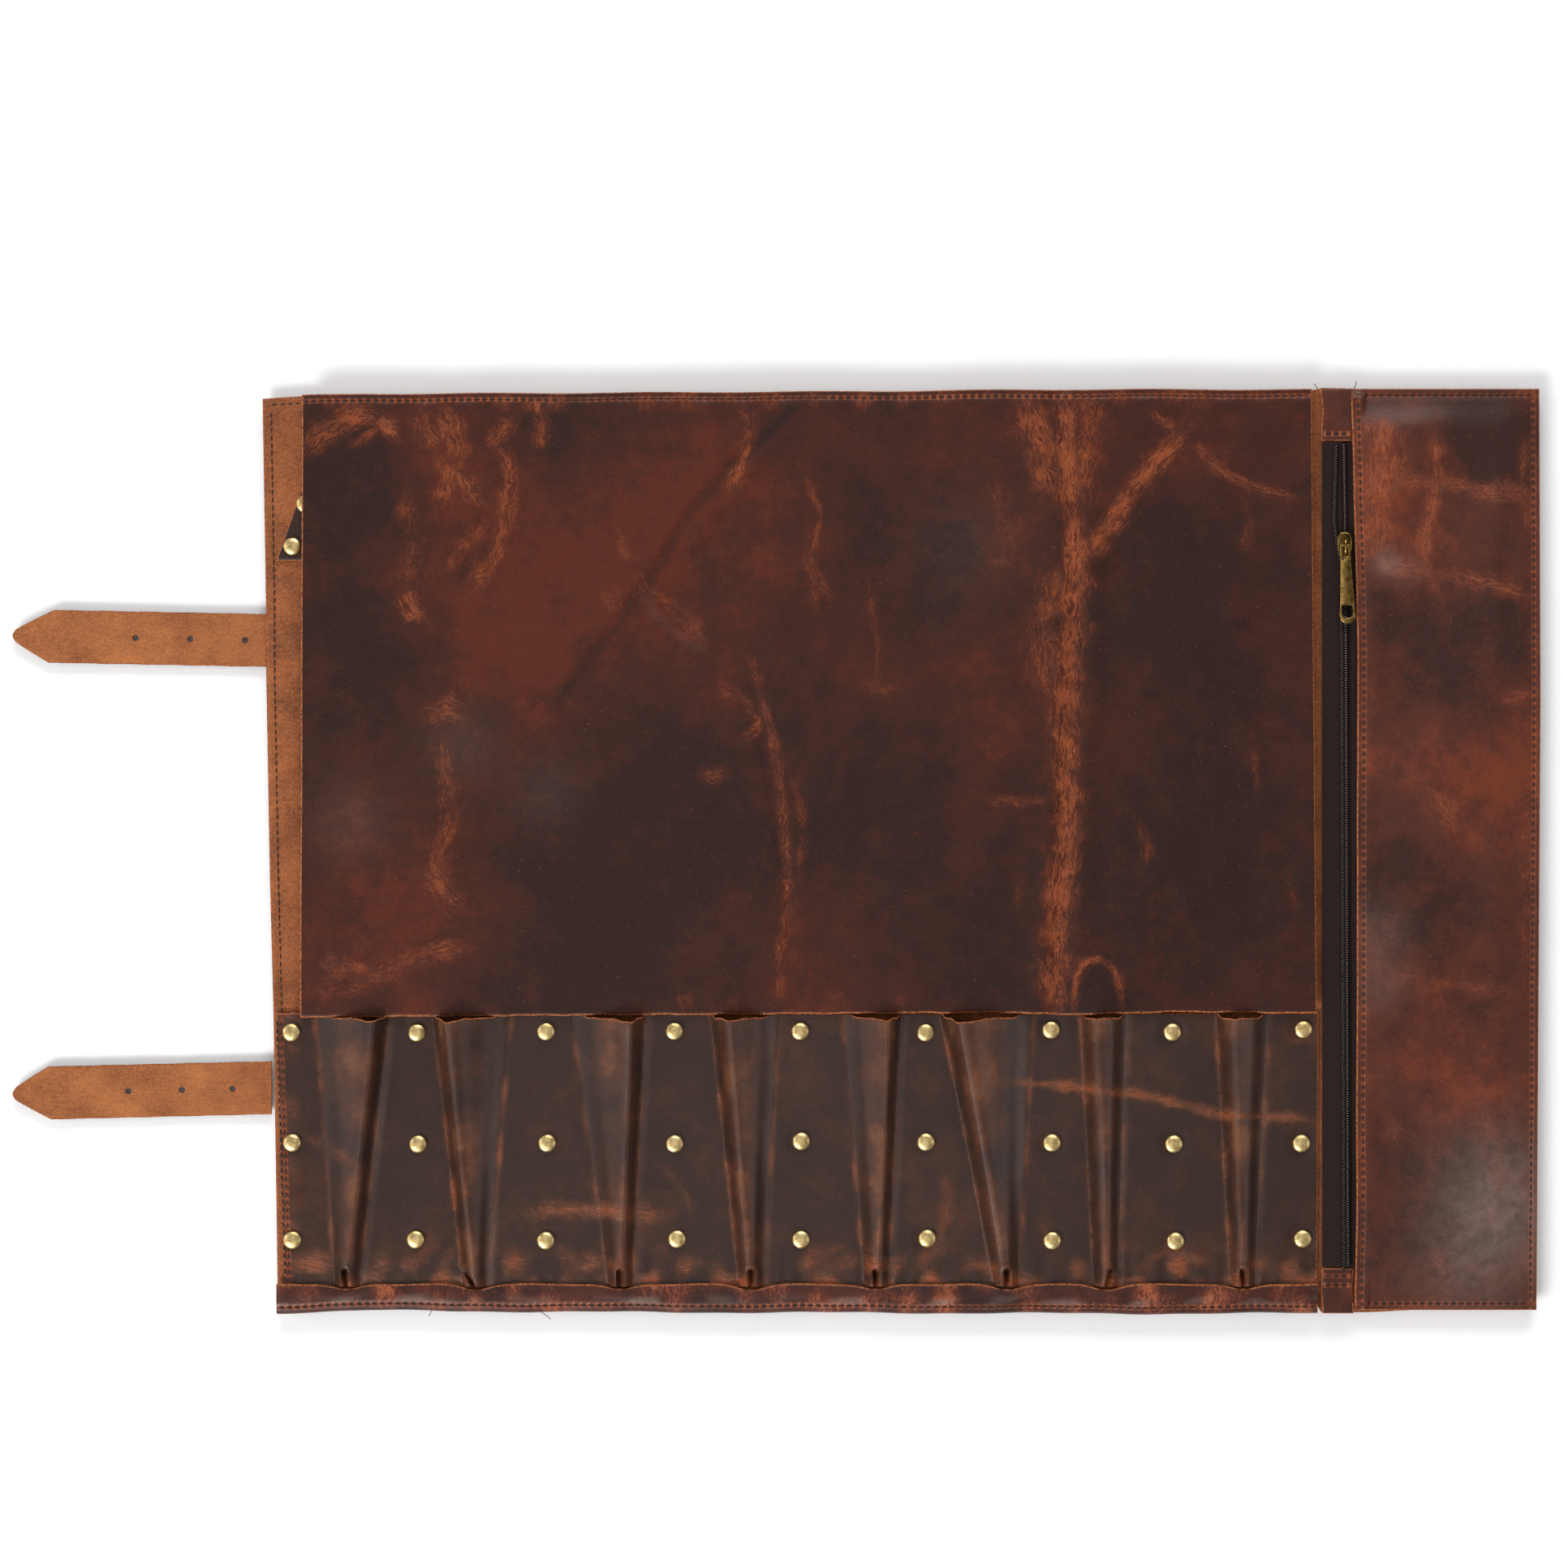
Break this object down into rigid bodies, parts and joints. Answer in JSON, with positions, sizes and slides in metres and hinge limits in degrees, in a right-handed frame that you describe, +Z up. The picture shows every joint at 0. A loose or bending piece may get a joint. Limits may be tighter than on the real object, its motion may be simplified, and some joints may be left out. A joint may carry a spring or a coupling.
{
  "type": "leather pencil roll",
  "caption": "Leather roll-up pencil case laid open: pleated riveted pockets, cover flap, inner sleeve, side zip pocket and buckled closing straps.",
  "frame": {"origin": "middle of the footprint on the surface the case lies on", "axes": "+X from the closing straps to the zip pocket, +Y from the pocket feet to the flap's seam, +Z up"},
  "size_m": [0.7504, 0.4536, 0.024],
  "materials": {
    "suede_leather": "flesh side, napped and matt",
    "flap_leather": "waxed pull-up grain side, creased and rubbed orange at the folds",
    "front_leather": "waxed pull-up grain side, reddish",
    "pocket_leather": "waxed grain side, almost black-brown",
    "antique_brass": "antique, worn bright on the crowns",
    "zip_tape": "woven tape with a nylon coil"
  },
  "bodies": {
    "panel_1": {"backing_panel_1": "suede_leather", "pocket_panel_1": "pocket_leather", "rivet_row_1_column_1": "antique_brass", "rivet_row_2_column_1": "antique_brass", "rivet_row_3_column_1": "antique_brass", "rivet_row_1_column_2": "antique_brass", "rivet_row_2_column_2": "antique_brass", "rivet_row_3_column_2": "antique_brass", "rivet_row_1_column_3": "antique_brass", "rivet_row_2_column_3": "antique_brass", "rivet_row_3_column_3": "antique_brass", "inner_sleeve": "pocket_leather", "sleeve_rivet_1": "antique_brass", "sleeve_rivet_2": "antique_brass", "sleeve_rivet_3": "antique_brass", "sleeve_rivet_4": "antique_brass"},
    "panel_2": {"backing_panel_2": "suede_leather", "pocket_panel_2": "pocket_leather", "rivet_row_1_column_4": "antique_brass", "rivet_row_2_column_4": "antique_brass", "rivet_row_3_column_4": "antique_brass", "rivet_row_1_column_5": "antique_brass", "rivet_row_2_column_5": "antique_brass", "rivet_row_3_column_5": "antique_brass"},
    "panel_3": {"backing_panel_3": "suede_leather", "pocket_panel_3": "pocket_leather", "rivet_row_1_column_6": "antique_brass", "rivet_row_2_column_6": "antique_brass", "rivet_row_3_column_6": "antique_brass", "rivet_row_1_column_7": "antique_brass", "rivet_row_2_column_7": "antique_brass", "rivet_row_3_column_7": "antique_brass"},
    "panel_4": {"backing_panel_4": "suede_leather", "pocket_panel_4": "pocket_leather", "rivet_row_1_column_8": "antique_brass", "rivet_row_2_column_8": "antique_brass", "rivet_row_3_column_8": "antique_brass", "rivet_row_1_column_9": "antique_brass", "rivet_row_2_column_9": "antique_brass", "rivet_row_3_column_9": "antique_brass", "buckle_tab_upper": "pocket_leather", "buckle_tab_lower": "pocket_leather", "buckle_frame_upper": "antique_brass", "buckle_frame_lower": "antique_brass"},
    "panel_5": {"backing_panel_5": "suede_leather", "zip_pocket_front": "front_leather", "zip_stringer_left": "zip_tape", "zip_stringer_right": "zip_tape", "zip_patch_top": "pocket_leather", "zip_patch_bottom": "pocket_leather"},
    "flap_1": {"flap_panel_1": "flap_leather"},
    "flap_2": {"flap_panel_2": "flap_leather"},
    "flap_3": {"flap_panel_3": "flap_leather"},
    "flap_4": {"flap_panel_4": "flap_leather"},
    "strap_upper": {"strap_upper": "suede_leather"},
    "strap_lower": {"strap_lower": "suede_leather"},
    "zip_slider": {"zip_slider": "antique_brass"},
    "zip_pull": {"zip_pull": "antique_brass"},
    "prong_upper": {"buckle_prong_upper": "antique_brass"},
    "prong_lower": {"buckle_prong_lower": "antique_brass"}
  },
  "joints": [
    {"name": "roll_1", "type": "hinge", "parent": "panel_1", "child": "panel_2", "pos_m": [-0.1042, 0, 0.0133], "axis": [0, -1, 0], "range_deg": [0, 90]},
    {"name": "roll_2", "type": "hinge", "parent": "panel_2", "child": "panel_3", "pos_m": [0.026, 0, 0.0133], "axis": [0, -1, 0], "range_deg": [0, 80.1]},
    {"name": "roll_3", "type": "hinge", "parent": "panel_3", "child": "panel_4", "pos_m": [0.1455, 0, 0.0133], "axis": [0, -1, 0], "range_deg": [0, 95.1]},
    {"name": "roll_4", "type": "hinge", "parent": "panel_4", "child": "panel_5", "pos_m": [0.267, 0, 0.0133], "axis": [0, -1, 0], "range_deg": [0, 100.1]},
    {"name": "flap_lift_1", "type": "hinge", "parent": "panel_1", "child": "flap_1", "pos_m": [0, 0.2265, 0.0092], "axis": [-1, 0, 0], "range_deg": [0, 180]},
    {"name": "flap_lift_2", "type": "hinge", "parent": "panel_2", "child": "flap_2", "pos_m": [0, 0.2265, 0.0092], "axis": [-1, 0, 0], "range_deg": [0, 180]},
    {"name": "flap_lift_3", "type": "hinge", "parent": "panel_3", "child": "flap_3", "pos_m": [0, 0.2265, 0.0092], "axis": [-1, 0, 0], "range_deg": [0, 180]},
    {"name": "flap_lift_4", "type": "hinge", "parent": "panel_4", "child": "flap_4", "pos_m": [0, 0.2265, 0.0092], "axis": [-1, 0, 0], "range_deg": [0, 180]},
    {"name": "strap_upper_lift", "type": "hinge", "parent": "panel_1", "child": "strap_upper", "pos_m": [-0.25011, 0.1044, 0.00475], "axis": [0, 1, 0], "range_deg": [0, 78]},
    {"name": "strap_lower_lift", "type": "hinge", "parent": "panel_1", "child": "strap_lower", "pos_m": [-0.2467, -0.1168, 0.00475], "axis": [0, 1, 0], "range_deg": [0, 78]},
    {"name": "zip_slide", "type": "slide", "parent": "panel_5", "child": "zip_slider", "axis": [0, 1, 0], "range_m": [-0.342, 0.043]},
    {"name": "zip_pull_lift", "type": "hinge", "parent": "zip_slider", "child": "zip_pull", "pos_m": [0.279, 0.1492, 0.0139], "axis": [-1, 0, 0], "range_deg": [0, 172]},
    {"name": "prong_upper_lift", "type": "hinge", "parent": "panel_4", "child": "prong_upper", "pos_m": [0.203, 0.1044, 0.0023], "axis": [0, 1, 0], "range_deg": [0, 75]},
    {"name": "prong_lower_lift", "type": "hinge", "parent": "panel_4", "child": "prong_lower", "pos_m": [0.203, -0.1168, 0.0023], "axis": [0, 1, 0], "range_deg": [0, 75]}
  ],
  "couplings": [
    {"joint": "roll_2", "follows": "roll_1", "ratio": 0.88889},
    {"joint": "roll_3", "follows": "roll_1", "ratio": 1.0556},
    {"joint": "roll_4", "follows": "roll_1", "ratio": 1.1111},
    {"joint": "flap_lift_2", "follows": "flap_lift_1", "ratio": 1},
    {"joint": "flap_lift_3", "follows": "flap_lift_1", "ratio": 1},
    {"joint": "flap_lift_4", "follows": "flap_lift_1", "ratio": 1}
  ]
}
